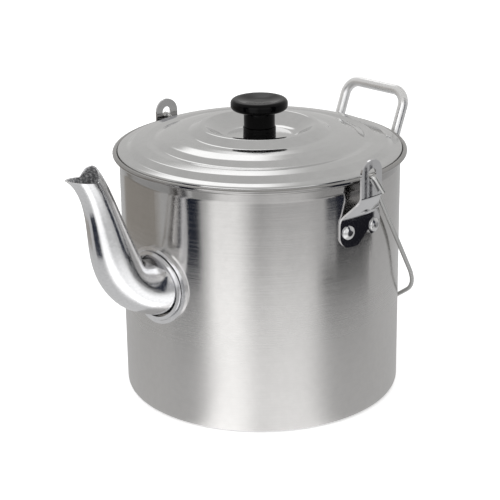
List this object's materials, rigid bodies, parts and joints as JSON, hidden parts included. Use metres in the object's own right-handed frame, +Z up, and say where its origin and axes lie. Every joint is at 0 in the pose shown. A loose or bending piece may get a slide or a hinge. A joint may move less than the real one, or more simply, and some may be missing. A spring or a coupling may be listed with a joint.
{
  "type": "camp coffee percolator",
  "caption": "Cylindrical steel camp percolator with gooseneck side spout, lift-off lid with black knob, drop bail on riveted ears, tipping handle, pump tube and basket.",
  "frame": {"origin": "centre of the pot's flat base, on the pot's axis", "axes": "+Z up along the pot's axis, +X towards the spout, bail ears near +Y and -Y, 1.9 and 4.1 degrees off them"},
  "size_m": [0.2456, 0.1852, 0.1724],
  "materials": {
    "brushed_steel": "satin stainless steel, fine brushing round the wall",
    "polished_steel": "polished stainless steel pressings",
    "lid_steel": "spun stainless steel, fine lathe lines, half gloss",
    "rod_steel": "bright satin steel rod",
    "wire_steel": "drawn steel wire",
    "rivet_steel": "bright rivet heads",
    "screw_steel": "plated screw and washer",
    "black_phenolic": "gloss black moulded phenolic",
    "insert_brass": "turned brass insert",
    "pump_steel": "satin stainless steel tube and spun foot",
    "basket_steel": "perforated stainless steel sheet"
  },
  "bodies": {
    "pot": {"pot_body": "brushed_steel", "spout": "polished_steel", "spout_collar": "polished_steel", "bail_ear_left": "polished_steel", "bail_ear_right": "polished_steel", "ear_rivets_left": "rivet_steel", "ear_rivets_right": "rivet_steel", "tipping_handle": "rod_steel", "handle_bracket": "polished_steel", "bracket_rivets": "rivet_steel"},
    "bail": {"bail": "wire_steel"},
    "lid": {"lid": "lid_steel", "lid_ring": "lid_steel", "knob": "black_phenolic", "knob_collar": "black_phenolic", "knob_insert": "insert_brass", "knob_screw": "screw_steel", "knob_washer": "screw_steel"},
    "pump": {"pump_foot": "pump_steel", "pump_tube": "pump_steel", "basket_stop": "pump_steel"},
    "basket": {"coffee_basket": "basket_steel", "basket_sleeve": "basket_steel"},
    "basket_cover": {"basket_cover": "basket_steel"}
  },
  "joints": [
    {"name": "bail_swing", "type": "hinge", "parent": "pot", "child": "bail", "pos_m": [-0.00171, 0.00009, 0.1457], "axis": [0.0523, 0.9986, 0], "range_deg": [0, 282]},
    {"name": "lid_lift", "type": "slide", "parent": "pot", "child": "lid", "axis": [0, 0, 1], "range_m": [0, 0.06]},
    {"name": "pump_lift", "type": "slide", "parent": "pot", "child": "pump", "axis": [0, 0, 1], "range_m": [0, 0.008]},
    {"name": "basket_lift", "type": "slide", "parent": "pump", "child": "basket", "axis": [0, 0, 1], "range_m": [0, 0.003]},
    {"name": "cover_lift", "type": "slide", "parent": "basket", "child": "basket_cover", "axis": [0, 0, 1], "range_m": [0, 0.002]}
  ]
}
